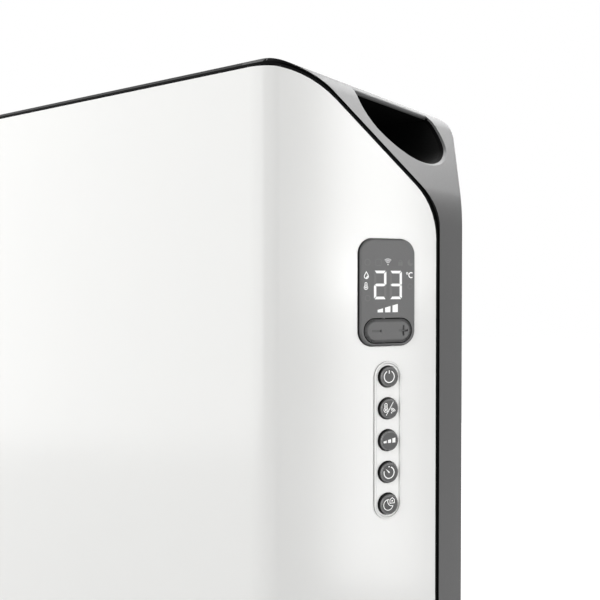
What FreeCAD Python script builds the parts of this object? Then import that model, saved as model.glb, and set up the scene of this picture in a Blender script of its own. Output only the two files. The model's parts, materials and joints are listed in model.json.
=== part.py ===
import FreeCAD, Part
import math
import os
from collections import namedtuple

# Free-standing electric panel heater: two white steel shells with bent, chamfered ends, held on
# moulded end frames under grey end covers with lifting pockets, controls on the right end face.
# Frame: +Z up, the front faces -Y, the controls are at +X, the origin is on the floor at the centre
# of the feet, under the middle of the upright strips at the ends.
# All sizes are in millimetres.

# Casing
flat_width = 570.0
front_depth = 92.0
rear_depth = 69.0
bend_degrees = 60.0
strip_width = 25.5
bend_radius = 14.0
shell_gauge = 1.0
shell_bottom = 52.0
shell_height = 470.0
chamfer_run = 68.0
chamfer_drop = 58.5
chamfer_upper_radius = 50.0
chamfer_lower_radius = 34.0
bottom_corner_radius = 22.0
shadow_gap = 2.0

# Perimeter carriers behind the shells
carrier_wall = 3.0
carrier_width = 8.0
carrier_clearance = 0.3

# End covers and the frames inside them
skin_wall = 3.0
seat_wall = 2.8
web_wall = 2.8
seat_overlap = 8.0
top_rise = 4.5
facet_upper_radius = 25.0
facet_lower_radius = 40.0
cover_bottom_radius = 16.0
end_reach = 16.0
ledge_reach = 10.0
ledge_wall = 2.8
boss_radius = 5.0
boss_height = 16.0
boss_spacing = 22.0

# Lifting pockets
pocket_length = 80.0
pocket_half_height = 23.3
pocket_end_radius = 16.0
pocket_centre_drop = 11.2
pocket_lip_drop = 4.0
pocket_back = 24.0
pocket_rim_bevel = 1.0
cup_wall = 2.0

# Top outlet grille
top_edge_chamfer = 1.8
grille_skirt = 12.0
blade_pitch = 13.0
blade_wall = 5.0
blade_depth = 10.0
grille_border = 16.0
grille_spine = 10.0

# Base tray
tray_wall = 1.5
tray_lift = 18.0
inlet_slot_width = 9.0
inlet_slot_length = 50.0
inlet_pitch = 22.0
inlet_row = 36.0

# Feet
foot_spacing = 380.0
foot_length = 250.0
foot_width = 44.0
foot_toe_height = 14.0
foot_shell_gap = 6.0
foot_arch_height = 16.0
foot_arch_length = 150.0
foot_sweep_sag = 5.0
foot_edge_radius = 4.0
pad_side = 26.0
pad_height = 4.0
pad_seat_depth = 2.0
pad_inset = 22.0

# Display window and its rocker key
display_inset = 27.8
display_drop = 99.75
display_width = 29.6
display_height = 49.8
display_corner = 7.0
display_rise = 1.8
display_edge = 0.7
panel_flange = 2.2
panel_flange_wall = 3.0
rocker_width = 25.0
rocker_height = 11.0
rocker_drop = 117.6
rocker_rise = 0.7
rocker_edge = 1.4
rocker_gap = 0.5
rocker_pin_radius = 0.75
rocker_pin_depth = 2.7
rocker_pin_hold = 2.6
pusher_side = 3.0
pusher_spacing = 16.0
rocker_pin_play = 0.05
rocker_tilt_degrees = 2.5

# Button strip
button_inset = 27.1
first_button_drop = 139.3
button_pitch = 15.0
button_count = 5
button_radius = 4.82
button_rise = 1.8
button_edge = 0.7
button_travel = 0.8
button_flange = 1.1
button_flange_wall = 1.0
button_stop_gap = 0.1
button_hole_gap = 0.5
button_stem = 1.2
bezel_width = 14.5
bezel_rise = 0.9
bezel_rim = 1.1
bezel_lip = 0.9
bezel_back = 1.9
bezel_floor = 0.3
bezel_edge = 0.4

# Control electronics
fit_gap = 0.3
housing_wall = 2.0
housing_margin = 3.0
housing_depth = 14.0
board_wall = 1.6
switch_side = 6.0
switch_height = 3.1
plunger_side = 3.0
plunger_height = 0.7
plunger_gap = 0.2
module_width = 23.0
module_height = 30.0
module_drop = 94.0

# Heating chamber
shield_gauge = 0.6
shield_inset = 20.0
shield_top_gap = 24.0
shield_flange = 10.0
bracket_gauge = 1.2
bracket_inset = 35.0
bracket_height = 260.0
bracket_flange = 14.0
element_lift = 130.0
element_spacing = 60.0
element_fin_length = 29.0
element_fin_wall = 2.4
element_core_radius = 8.0
element_end_gap = 9.0
element_slot_width = 3.0
element_slot_pitch = 60.0
terminal_radius = 4.0
terminal_reach = 20.0
insulator_side = 20.0
insulator_neck_radius = 6.5
insulator_shoulder = 5.0

# Power electronics, sensors and cord entry
power_board_width = 90.0
power_board_height = 120.0
power_board_lift = 60.0
standoff_length = 16.0
standoff_radius = 3.0
standoff_inset = 6.0
relay_length = 29.0
relay_width = 13.0
relay_height = 16.0
relay_spacing = 34.0
terminal_length = 30.0
terminal_block_width = 12.0
terminal_block_height = 14.0
terminal_entry = 4.5
cutout_radius = 8.0
cutout_height = 9.0
cutout_drop = 45.0
cutout_plate = 30.0
tilt_side = 22.0
tilt_height = 16.0
tilt_y = -28.0
sensor_radius = 2.5
sensor_length = 14.0
sensor_inset = 7.0
sensor_front_inset = 34.0
gland_radius = 7.0
gland_collar = 10.0
gland_collar_height = 5.0
gland_reach = 10.0
gland_bore = 4.0
gland_inset = 5.0
gland_rear_inset = 29.0

# Screws
screw_radius = 2.0
screw_head_radius = 4.0
screw_head_height = 2.4
screw_length = 14.0
shell_screw_length = 6.5
shell_screw_inset = 10.0
shell_screw_drop = 7.0
foot_screw_spacing = 60.0
foot_screw_recess = 5.5
foot_screw_seat = 8.0

# How far a cutting tool runs past a face, and how near counts as touching
overcut = 1.0
tolerance = 1e-3

# Derived places
V = FreeCAD.Vector
turn = math.radians(bend_degrees)
flat_half = flat_width / 2
body_depth = front_depth + rear_depth
body_middle = (rear_depth - front_depth) / 2
strip_half = strip_width / 2
front_end = (front_depth - strip_half) / math.sin(turn) - shadow_gap
rear_end = (rear_depth - strip_half) / math.sin(turn) - shadow_gap
strip_x = flat_half + (front_end + shadow_gap) * math.cos(turn)
rear_flat_half = strip_x - (rear_end + shadow_gap) * math.cos(turn)
shell_top = shell_bottom + shell_height
body_top = shell_top + top_rise
seat_inset = shell_gauge + carrier_wall
display_offset = front_end - display_inset
button_offset = front_end - button_inset
grille_half = flat_half - end_reach
pocket_centre = shell_top - pocket_centre_drop
pocket_bottom = pocket_centre - pocket_half_height
chamfer_slope = math.atan2(chamfer_drop, chamfer_run)
tray_bottom = shell_bottom + tray_lift
tray_top = tray_bottom + tray_wall
saddle_half = rear_depth - seat_inset - seat_wall - foot_shell_gap
bracket_half = flat_half - bracket_inset
element_axis = tray_top + element_lift
element_rows = (body_middle - element_spacing / 2, body_middle + element_spacing / 2)
sensor_x = flat_half - sensor_inset
sensor_y = sensor_front_inset - front_depth
gland_x = flat_half - gland_inset
gland_y = rear_depth - gland_rear_inset
button_seat = bezel_back + button_stop_gap
plunger_tip = button_seat + button_flange_wall + button_stem + button_travel + plunger_gap
board_depth = plunger_tip + plunger_height + switch_height
panel_back = shell_gauge + panel_flange_wall
X_AXIS = V(1, 0, 0)
Y_AXIS = V(0, 1, 0)
Z_AXIS = V(0, 0, 1)
ORIGIN = V(0, 0, 0)

# The two shells: how far each stands from the middle of the strips, half its flat and its bent ends
Side = namedtuple("Side", "depth flat_half end_length")
FRONT = Side(front_depth, flat_half, front_end)
REAR = Side(rear_depth, rear_flat_half, rear_end)


def export(shape, name):
    """Write one piece, in the shared frame, to its own file."""
    os.makedirs("parts", exist_ok=True)
    shape.exportStep("parts/" + name + ".step")


def box(low, high):
    """A block between two opposite corners."""
    size = V(*high) - V(*low)
    return Part.makeBox(size.x, size.y, size.z, V(*low))


def rod(radius, base, direction, length):
    """A plain cylinder from a base point along a direction."""
    return Part.makeCylinder(radius, length, V(*base), direction)


def hex_rod(across, base, direction, length):
    """A hexagonal bar, measured across its corners, from a base point along a direction."""
    corners = [V(math.cos(n * math.pi / 3), math.sin(n * math.pi / 3), 0) * (across / 2) for n in range(6)]
    bar = prism(corners, V(0, 0, length))
    bar.Placement = FreeCAD.Placement(V(*base), FreeCAD.Rotation(Z_AXIS, direction))
    return bar


def loop(items):
    """A closed wire: points joined by lines, with (middle, end) pairs as arcs."""
    edges = []
    here = items[0]
    for item in items[1:] + [items[0]]:
        if isinstance(item, tuple):
            middle, end = item
            edges.append(Part.Arc(here, middle, end).toShape())
        else:
            end = item
            if end.distanceToPoint(here) > tolerance:
                edges.append(Part.LineSegment(here, end).toShape())
        here = end
    return Part.Wire(edges)


def prism(items, direction):
    """A solid from a closed outline, pushed along a direction."""
    return Part.Face(loop(items)).extrude(direction)


def mirror_x(shape):
    """The same piece on the left end."""
    return shape.mirror(ORIGIN, X_AXIS)


def mirror_y(shape):
    """A piece drawn as if at the front, turned to the rear."""
    return shape.mirror(ORIGIN, Y_AXIS)


def on_end_face(shape, side=FRONT):
    """Place a piece drawn on a right end face, taken as at the front: x along the face, y inwards, z up."""
    placed = shape.copy()
    placed.rotate(ORIGIN, Z_AXIS, bend_degrees)
    placed.translate(V(side.flat_half, -side.depth, 0))
    return placed


def bent_sheet(side, inset, wall):
    """A sheet with both ends bent back, drawn as at the front, standing inset behind the outer skin."""
    tangent = bend_radius * math.tan(turn / 2)
    centre = V(side.flat_half - tangent, bend_radius - side.depth, 0)
    margin = seat_overlap + shadow_gap
    reach = side.end_length + margin - tangent

    def outwards(radius, sign):
        """One face of the sheet, from the flat front round the bend to the tip of an end."""
        start = centre + V(0, -radius, 0)
        middle = centre + V(math.sin(turn / 2), -math.cos(turn / 2), 0) * radius
        bent = centre + V(math.sin(turn), -math.cos(turn), 0) * radius
        tip = bent + V(math.cos(turn), math.sin(turn), 0) * reach
        start, middle, bent, tip = [V(p.x * sign, p.y, 0) for p in (start, middle, bent, tip)]
        return [start, (middle, bent), tip]

    def inwards(radius, sign):
        """The same face, from the tip back to the flat front."""
        start, (middle, bent), tip = outwards(radius, sign)
        return [tip, bent, (middle, start)]

    outer = bend_radius - inset
    inner = outer - wall
    outline = outwards(outer, 1) + inwards(inner, 1) + outwards(inner, -1) + inwards(outer, -1)
    solid = prism(outline, V(0, 0, shell_height + 2 * margin))
    solid.translate(V(0, 0, shell_bottom - margin))
    return solid


def end_outline(side, grow):
    """A shell's outline on its right end face, offset outwards by grow, as a closed loop."""
    slope = chamfer_slope
    edge = side.end_length + grow
    top = shell_top + grow
    low = shell_bottom - grow
    inside = -2 * flat_width
    base_x = side.end_length - chamfer_run + grow * math.sin(slope)
    base_z = shell_top + grow * math.cos(slope)
    upper_x = base_x + grow * (math.cos(slope) - 1) / math.tan(slope)
    lower_z = base_z - (edge - base_x) * math.tan(slope)
    r1 = chamfer_upper_radius + grow
    r2 = chamfer_lower_radius + grow
    r3 = bottom_corner_radius + grow
    t1 = r1 * math.tan(slope / 2)
    t2 = r2 * math.tan(math.pi / 4 - slope / 2)
    half1 = slope / 2
    half2 = math.pi / 4 + slope / 2
    root = math.sqrt(0.5)
    arc1 = V(upper_x - t1 + r1 * math.sin(half1), 0, top - r1 + r1 * math.cos(half1))
    arc2 = V(edge - r2 + r2 * math.sin(half2), 0, lower_z - t2 + r2 * math.cos(half2))
    arc3 = V(edge - r3 + r3 * root, 0, low + r3 - r3 * root)
    chamfer_start = V(upper_x + t1 * math.cos(slope), 0, top - t1 * math.sin(slope))
    chamfer_end = V(edge - t2 * math.cos(slope), 0, lower_z + t2 * math.sin(slope))
    return [
        V(inside, 0, top),
        V(upper_x - t1, 0, top),
        (arc1, chamfer_start),
        chamfer_end,
        (arc2, V(edge, 0, lower_z - t2)),
        V(edge, 0, low + r3),
        (arc3, V(edge - r3, 0, low)),
        V(inside, 0, low),
    ]


def end_prism(side, grow, near, far):
    """Everything inside that outline, between two depths behind the right end face."""
    solid = prism(end_outline(side, grow), V(0, far - near, 0))
    solid.translate(V(0, near, 0))
    return on_end_face(solid, side)


def trimmed_sheet(side, inset, wall, grow):
    """A bent sheet cut to the chamfered outline on both ends."""
    keep = end_prism(side, grow, -body_depth, 2 * flat_width)
    return bent_sheet(side, inset, wall).common(keep).common(mirror_x(keep))


def perimeter(side, inset, wall, grow, width):
    """A band that follows a shell's edge, behind the shell."""
    window = end_prism(side, -width, -body_depth, 2 * flat_width)
    return trimmed_sheet(side, inset, wall, grow).cut(window.common(mirror_x(window)))


def end_profile(inset, reach):
    """Front outline of the right end cover: upright strip, sloping facet and flat top."""
    slope = chamfer_slope
    rise = shadow_gap * math.cos(slope)
    run = chamfer_run + shadow_gap - shadow_gap * math.sin(slope)
    lean = math.atan2(math.cos(turn), math.tan(slope))
    corner_z = shell_top + rise - run * math.tan(slope)
    shift = inset * math.tan(lean / 2)
    low = V(strip_x - inset, 0, corner_z - shift)
    high_z = body_top - inset
    high = V(low.x - (high_z - low.z) * math.tan(lean), 0, high_z)
    r1 = facet_upper_radius - inset
    r2 = facet_lower_radius - inset
    bend = math.pi / 2 - lean
    t1 = r1 * math.tan(bend / 2)
    t2 = r2 * math.tan(lean / 2)
    arc1 = V(high.x - t1 + r1 * math.sin(bend / 2), 0, high.z - r1 + r1 * math.cos(bend / 2))
    arc2 = V(low.x - r2 + r2 * math.cos(lean / 2), 0, low.z - t2 + r2 * math.sin(lean / 2))
    r3 = cover_bottom_radius
    arc3 = V(low.x - r3 + r3 * math.sqrt(0.5), 0, shell_bottom + r3 - r3 * math.sqrt(0.5))
    along = V(math.sin(lean), 0, -math.cos(lean))
    left = flat_half - reach
    return [
        V(left, 0, high.z),
        high - V(t1, 0, 0),
        (arc1, high + along * t1),
        low - along * t2,
        (arc2, low - V(0, 0, t2)),
        V(low.x, 0, shell_bottom + r3),
        (arc3, V(low.x - r3, 0, shell_bottom)),
        V(left, 0, shell_bottom),
    ]


def end_block(inset, reach=end_reach):
    """The end cover's profile pushed through the whole depth."""
    solid = prism(end_profile(inset, reach), V(0, body_depth, 0))
    solid.translate(V(0, -front_depth, 0))
    return solid


def plan_edge(side):
    """Points of the end cover's edge from above, drawn as at the front, from the grille round to the tip."""
    y = seat_inset - side.depth
    corner = side.flat_half + seat_inset / math.tan(turn)
    tangent = bend_radius * math.tan(turn / 2)
    far = side.end_length + seat_overlap
    start = V(flat_half - end_reach - ledge_reach, y, 0)
    bend = V(corner - tangent, y, 0)
    middle = bend + V(math.sin(turn / 2), 1 - math.cos(turn / 2), 0) * bend_radius
    end = V(corner + tangent * math.cos(turn), y + tangent * math.sin(turn), 0)
    tip = V(side.flat_half + far * math.cos(turn), far * math.sin(turn) - side.depth, 0)
    return start, bend, middle, end, tip


def plan_block():
    """The end cover's outline from above, pushed up, with the long top edges chamfered as on the grille."""
    start, bend, middle, end, tip = plan_edge(FRONT)
    rear = [V(p.x, -p.y, 0) for p in plan_edge(REAR)]
    outline = [start, bend, (middle, end), tip, rear[4], rear[3], (rear[2], rear[1]), rear[0]]
    block = prism(outline, V(0, 0, body_top))
    top_edges = edges_at(block, "Z", body_top)
    long_edges = [e for e in top_edges if abs(e.CenterOfMass.y - body_middle) > strip_width]
    return block.makeChamfer(top_edge_chamfer, long_edges)


def pocket_prism(grow, start, length):
    """The lifting pocket: a flat lip on top and an oval of tangent arcs below, pushed along X."""
    end_radius = pocket_end_radius + grow
    half_height = pocket_half_height + grow
    arm = (pocket_length - 2 * pocket_end_radius) / 2
    belly = (arm ** 2 + half_height ** 2 - end_radius ** 2) / (2 * (half_height - end_radius))
    lip_rise = pocket_centre_drop - pocket_lip_drop + grow
    lip_angle = math.asin(lip_rise / end_radius)
    belly_angle = math.atan2(half_height - belly, arm)

    def on_end(angle, sign):
        """A point of one end arc."""
        y = arm + end_radius * math.cos(angle)
        return V(start, sign * y, pocket_centre + end_radius * math.sin(angle))

    halfway = (lip_angle + belly_angle) / 2
    outline = [
        on_end(lip_angle, -1),
        on_end(lip_angle, 1),
        (on_end(halfway, 1), on_end(belly_angle, 1)),
        (V(start, 0, pocket_centre - half_height), on_end(belly_angle, -1)),
        (on_end(halfway, -1), on_end(lip_angle, -1)),
    ]
    return prism(outline, V(length, 0, 0))


def rounded_block(width, height, corner, near, far):
    """A rounded rectangle in x and z, centred on the origin, between two depths along y."""
    a = width / 2
    b = height / 2
    r = corner
    k = r * (1 - math.sqrt(0.5))
    outline = [
        V(r - a, near, b),
        V(a - r, near, b),
        (V(a - k, near, b - k), V(a, near, b - r)),
        V(a, near, r - b),
        (V(a - k, near, k - b), V(a - r, near, -b)),
        V(r - a, near, -b),
        (V(k - a, near, k - b), V(-a, near, r - b)),
        V(-a, near, b - r),
        (V(k - a, near, b - k), V(r - a, near, b)),
    ]
    return prism(outline, V(0, far - near, 0))


def edges_at(shape, axis, value):
    """Edges that lie wholly in a plane across one axis."""
    found = []
    for edge in shape.Edges:
        limits = edge.BoundBox
        low = getattr(limits, axis + "Min")
        high = getattr(limits, axis + "Max")
        if abs(low - value) < tolerance and abs(high - value) < tolerance:
            found.append(edge)
    return found


def button_height(index):
    """Height of one button, counted from the top."""
    return shell_top - first_button_drop - index * button_pitch


def strip_centre():
    """Height of the middle of the button strip."""
    return (button_height(0) + button_height(button_count - 1)) / 2


def strip_block(width, near, far):
    """A pill that follows the row of buttons, between two depths."""
    height = width + (button_count - 1) * button_pitch
    block = rounded_block(width, height, width / 2, near, far)
    block.translate(V(button_offset, 0, strip_centre()))
    return block


def display_block(grow, near, far):
    """The display window's rounded outline, offset outwards by grow, between two depths."""
    width = display_width + 2 * grow
    height = display_height + 2 * grow
    block = rounded_block(width, height, display_corner + grow, near, far)
    block.translate(V(display_offset, 0, shell_top - display_drop))
    return block


def rocker_block(grow, near, far):
    """The rocker key's pill outline, offset outwards by grow, between two depths."""
    height = rocker_height + 2 * grow
    block = rounded_block(rocker_width + 2 * grow, height, height / 2, near, far)
    block.translate(V(display_offset, 0, shell_top - rocker_drop))
    return block


def post(x, z, side, near, far):
    """A square post at a place on the end face, between two depths."""
    return box((x - side / 2, near, z - side / 2), (x + side / 2, far, z + side / 2))


def hex_screw(base, direction, length):
    """A hex-head screw: base is the seat under the head, direction points into the work."""
    head = hex_rod(2 * screw_head_radius, base, direction * -1, screw_head_height)
    return head.fuse(hex_rod(2 * screw_radius, base, direction, length))


def shell_screw_places():
    """Where the rear shell's screws sit on its flat back, over the right end frame, and their direction."""
    heights = (shell_bottom + carrier_width / 2, shell_top - shell_screw_drop)
    return [((flat_half - shell_screw_inset, rear_depth, z), Y_AXIS * -1) for z in heights]


def shell_screw_holes():
    """Clearance through the rear shell, its carrier and the right end frame's seat."""
    reach = seat_inset + seat_wall + 2 * shell_gauge
    holes = []
    for place, inward in shell_screw_places():
        start = V(*place) - inward * shell_gauge
        holes.append(hex_rod(2 * screw_radius, start, inward, reach))
    return Part.makeCompound(holes)


def make_shells():
    """White steel shells: one sheet each, bent back at both ends and cut to the chamfered outline."""
    through = 4 * shell_gauge
    window = display_block(fit_gap, -through, through)
    strip = strip_block(bezel_width - 2 * bezel_lip, -through, through)
    sheet = trimmed_sheet(FRONT, 0, shell_gauge, 0)
    export(sheet.cut(on_end_face(window.fuse(strip))), "front_shell")
    holes = shell_screw_holes()
    back = mirror_y(trimmed_sheet(REAR, 0, shell_gauge, 0))
    export(back.cut(holes).cut(mirror_x(holes)), "rear_shell")


def make_carriers():
    """Black perimeter carriers that the shells are fixed to, seen as the dark shadow gap."""
    grow = shadow_gap - carrier_clearance
    export(perimeter(FRONT, shell_gauge, carrier_wall, grow, carrier_width), "front_carrier")
    holes = shell_screw_holes()
    band = mirror_y(perimeter(REAR, shell_gauge, carrier_wall, grow, carrier_width))
    export(band.cut(holes).cut(mirror_x(holes)), "rear_carrier")


def boss_places():
    """Screw bosses at the foot of the right end frame, in line behind the upright strip."""
    x = strip_x - skin_wall - boss_radius - fit_gap
    return [(x, 0), (x - boss_spacing, 0)]


def shell_space(side):
    """The space of a shell and its carrier at the right end, with the shadow gap, drawn as at the front."""
    behind_face = end_prism(side, shadow_gap, -body_depth, seat_inset)
    return behind_face.fuse(trimmed_sheet(side, 0, seat_inset, shadow_gap))


def rim_of_pocket(cover):
    """Edges where the lifting pocket breaks through the outer skin."""
    skin = Part.makeCompound(end_block(0).Faces)
    wall = Part.makeCompound(pocket_prism(0, flat_half - pocket_back, body_depth).Faces)
    rim = []
    for edge in cover.Edges:
        if edge.BoundBox.ZMin < pocket_bottom - pocket_half_height:
            continue
        middle = Part.Vertex(edge.valueAt((edge.FirstParameter + edge.LastParameter) / 2))
        if middle.distToShape(skin)[0] < tolerance and middle.distToShape(wall)[0] < tolerance:
            rim.append(edge)
    return rim


def make_end_covers():
    """Grey moulded end covers: upright strip, sloping facet with a lifting opening, top, grille ledge."""
    skin = end_block(0).cut(end_block(skin_wall)).common(plan_block())
    skin = skin.cut(shell_space(FRONT)).cut(mirror_y(shell_space(REAR)))
    under = body_top - skin_wall
    margin = seat_inset + 2 * skin_wall
    low = (grille_half - ledge_reach, margin - front_depth, under - ledge_wall)
    ledge = box(low, (grille_half + ledge_reach, rear_depth - margin, under))
    cover = skin.fuse(ledge).cut(pocket_prism(0, flat_half - pocket_back, body_depth)).removeSplitter()
    cover = cover.makeChamfer(pocket_rim_bevel, rim_of_pocket(cover))
    export(cover, "end_cover_right")
    export(mirror_x(cover), "end_cover_left")


def make_end_frames():
    """Black inner end frames: a seat behind each shell's edge, a web between them and screw bosses."""
    seat = perimeter(FRONT, seat_inset, seat_wall, seat_overlap, carrier_width)
    rear_seat = mirror_y(perimeter(REAR, seat_inset, seat_wall, seat_overlap, carrier_width))
    seats = [part.common(end_block(skin_wall)) for part in (seat, rear_seat)]
    web = end_block(skin_wall).cut(end_block(skin_wall + web_wall))
    web_top = pocket_bottom - cup_wall - fit_gap
    web = web.common(box((flat_half, -strip_half, tray_top), (strip_x, strip_half, web_top)))
    web = web.cut(shell_space(FRONT)).cut(mirror_y(shell_space(REAR)))
    posts = [hex_rod(2 * boss_radius, (x, y, tray_top), Z_AXIS, boss_height) for x, y in boss_places()]
    rib_low = (boss_places()[-1][0], -skin_wall / 2, tray_top)
    rib = box(rib_low, (strip_x - skin_wall - web_wall / 2, skin_wall / 2, tray_top + boss_height))
    frame = web.fuse(seats + [rib] + posts)
    bore_depth = boss_height - skin_wall
    bores = [hex_rod(2 * screw_radius, (x, y, tray_top), Z_AXIS, bore_depth) for x, y in boss_places()]
    frame = frame.cut(Part.makeCompound(bores)).cut(shell_screw_holes()).removeSplitter()
    export(frame, "end_frame_right")
    export(mirror_x(frame), "end_frame_left")


def make_handle_cups():
    """Black cups behind the lifting openings, closed at the back."""
    back = flat_half - pocket_back
    cup = pocket_prism(cup_wall, back - cup_wall, body_depth).cut(pocket_prism(0, back, body_depth))
    inside = end_block(skin_wall, pocket_back + 2 * cup_wall)
    cup = cup.common(inside)
    export(cup, "handle_cup_right")
    export(mirror_x(cup), "handle_cup_left")


def make_top_grille():
    """Air outlet: a moulded plate with two rows of blades, a spine and a skirt front and rear."""
    near = seat_inset - front_depth
    far = rear_depth - seat_inset
    under = body_top - skin_wall
    plate = box((-grille_half, near, under), (grille_half, far, body_top))
    long_edges = [e for e in edges_at(plate, "Z", body_top) if e.BoundBox.XLength > grille_half]
    plate = plate.makeChamfer(top_edge_chamfer, long_edges)
    inner = grille_half - ledge_reach - fit_gap
    first_row = (near + grille_border, body_middle - grille_spine / 2)
    second_row = (body_middle + grille_spine / 2, far - grille_border)
    core = box((-inner, first_row[0] - blade_wall, body_top - blade_depth),
               (inner, second_row[1] + blade_wall, under))
    skirt = box((-inner, near, under - grille_skirt), (inner, near + skin_wall, under))
    rear_skirt = box((-inner, far - skin_wall, under - grille_skirt), (inner, far, under))
    grille = plate.fuse([core, skirt, rear_skirt])
    slot_width = blade_pitch - blade_wall
    count = int(2 * (inner - grille_border) // blade_pitch)
    first = -(count - 1) * blade_pitch / 2
    slots = []
    for n in range(count):
        left = first + n * blade_pitch - slot_width / 2
        for low, high in (first_row, second_row):
            slots.append(box((left, low, under - body_depth), (left + slot_width, high, body_top + overcut)))
    export(grille.cut(Part.makeCompound(slots)).removeSplitter(), "top_grille")


def tray_quarter(side):
    """A quarter of the tray's flat sheet, drawn at the front right, with its corner rounded at the bend."""
    inset = seat_inset + seat_wall
    y = inset - side.depth
    corner = side.flat_half - inset * math.tan(turn / 2)
    end = strip_x - skin_wall
    rise = (end - corner) * math.tan(turn)
    slant = prism([V(corner, y, 0), V(end, y, 0), V(end, y + rise, 0)], V(0, 0, tray_top))
    quarter = box((0, y, tray_bottom), (end, 0, tray_top)).cut(slant)
    upright = [e for e in quarter.Edges if e.BoundBox.ZLength > tray_wall / 2
               and abs(e.CenterOfMass.x - corner) < tolerance]
    return quarter.makeFillet(bend_radius - inset, upright)


def tray_lip(side):
    """The tray's folded edge behind a shell, drawn as at the front."""
    y = seat_inset + seat_wall - side.depth
    return box((-bracket_half, y, tray_top), (bracket_half, y + shell_gauge, tray_top + shield_flange))


def inlet_slots():
    """Two rows of air inlet slots through the tray, left out over the feet."""
    count = int(2 * (bracket_half - inlet_pitch) // inlet_pitch)
    first = -(count - 1) * inlet_pitch / 2
    slots = []
    for n in range(count):
        x = first + n * inlet_pitch
        if abs(abs(x) - foot_spacing / 2) < (foot_width + inlet_pitch) / 2:
            continue
        for y in (body_middle - inlet_row, body_middle + inlet_row):
            low = (x - inlet_slot_width / 2, y - inlet_slot_length / 2, tray_bottom - overcut)
            high = (x + inlet_slot_width / 2, y + inlet_slot_length / 2, tray_top + overcut)
            slots.append(box(low, high))
    return slots


def foot_screw_rows():
    """The two screws of each foot, front and rear of the middle."""
    return (-foot_screw_spacing / 2, foot_screw_spacing / 2)


def make_base_tray():
    """Folded steel tray that ties the end frames together and lets air in through slots."""
    half = tray_quarter(FRONT).fuse(mirror_y(tray_quarter(REAR)))
    plate = half.fuse(mirror_x(half)).removeSplitter()
    tray = plate.fuse([tray_lip(FRONT), mirror_y(tray_lip(REAR))])
    places = []
    for sign in (-1, 1):
        places += [(sign * x, y) for x, y in boss_places()]
        places += [(sign * foot_spacing / 2, y) for y in foot_screw_rows()]
    below = tray_bottom - overcut
    through = tray_wall + 2 * overcut
    holes = [hex_rod(2 * screw_radius, (x, y, below), Z_AXIS, through) for x, y in places]
    holes.append(hex_rod(2 * gland_radius, (gland_x, gland_y, below), Z_AXIS, through))
    export(tray.cut(Part.makeCompound(inlet_slots() + holes)), "base_tray")


def pad_block(x, y):
    """One rubber pad, a square block pressed into the underside of a foot's toe."""
    return box((x - pad_side / 2, y - pad_side / 2, 0), (x + pad_side / 2, y + pad_side / 2, pad_height))


def make_feet():
    """Moulded feet: a saddle between the shells, curved toes, an arch and seats for the rubber pads."""
    bottom = pad_height - pad_seat_depth
    toe = V(0, foot_length / 2, bottom + foot_toe_height)
    ankle = V(0, saddle_half, shell_bottom - foot_shell_gap)
    saddle = V(0, saddle_half, tray_bottom)
    slope = math.atan2(ankle.z - toe.z, toe.y - ankle.y)
    sweep = (toe + ankle) * 0.5 - V(0, math.sin(slope), math.cos(slope)) * foot_sweep_sag
    back = [V(0, -p.y, p.z) for p in (saddle, ankle, sweep, toe)]
    outline = [
        V(0, -foot_length / 2, bottom),
        V(0, -foot_arch_length / 2, bottom),
        (V(0, 0, bottom + foot_arch_height), V(0, foot_arch_length / 2, bottom)),
        V(0, foot_length / 2, bottom),
        toe,
        (sweep, ankle),
        saddle,
        back[0],
        back[1],
        (back[2], back[3]),
    ]
    foot = prism(outline, V(foot_width, 0, 0))
    foot.translate(V(-foot_width / 2, 0, 0))
    across = [e for e in foot.Edges if e.BoundBox.XLength > foot_width / 2]
    toes = [e for e in across if abs(abs(e.CenterOfMass.y) - foot_length / 2) < tolerance]
    foot = foot.makeFillet(foot_edge_radius, toes)
    pad_y = foot_length / 2 - pad_inset
    seats = [pad_block(0, y) for y in (-pad_y, pad_y)]
    head_seat = tray_bottom - foot_screw_seat
    for y in foot_screw_rows():
        seats.append(hex_rod(2 * foot_screw_recess, (0, y, 0), Z_AXIS, head_seat))
        seats.append(hex_rod(2 * screw_radius, (0, y, 0), Z_AXIS, tray_top))
    foot = foot.cut(Part.makeCompound(seats))
    pads = []
    screws = []
    for sign, name in ((-1, "foot_left"), (1, "foot_right")):
        x = sign * foot_spacing / 2
        placed = foot.copy()
        placed.translate(V(x, 0, 0))
        export(placed, name)
        pads += [pad_block(x, y) for y in (-pad_y, pad_y)]
        screws += [hex_screw((x, y, head_seat), Z_AXIS, screw_length) for y in foot_screw_rows()]
    export(Part.makeCompound(pads), "foot_pads")
    export(Part.makeCompound(screws), "foot_screws")


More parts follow.
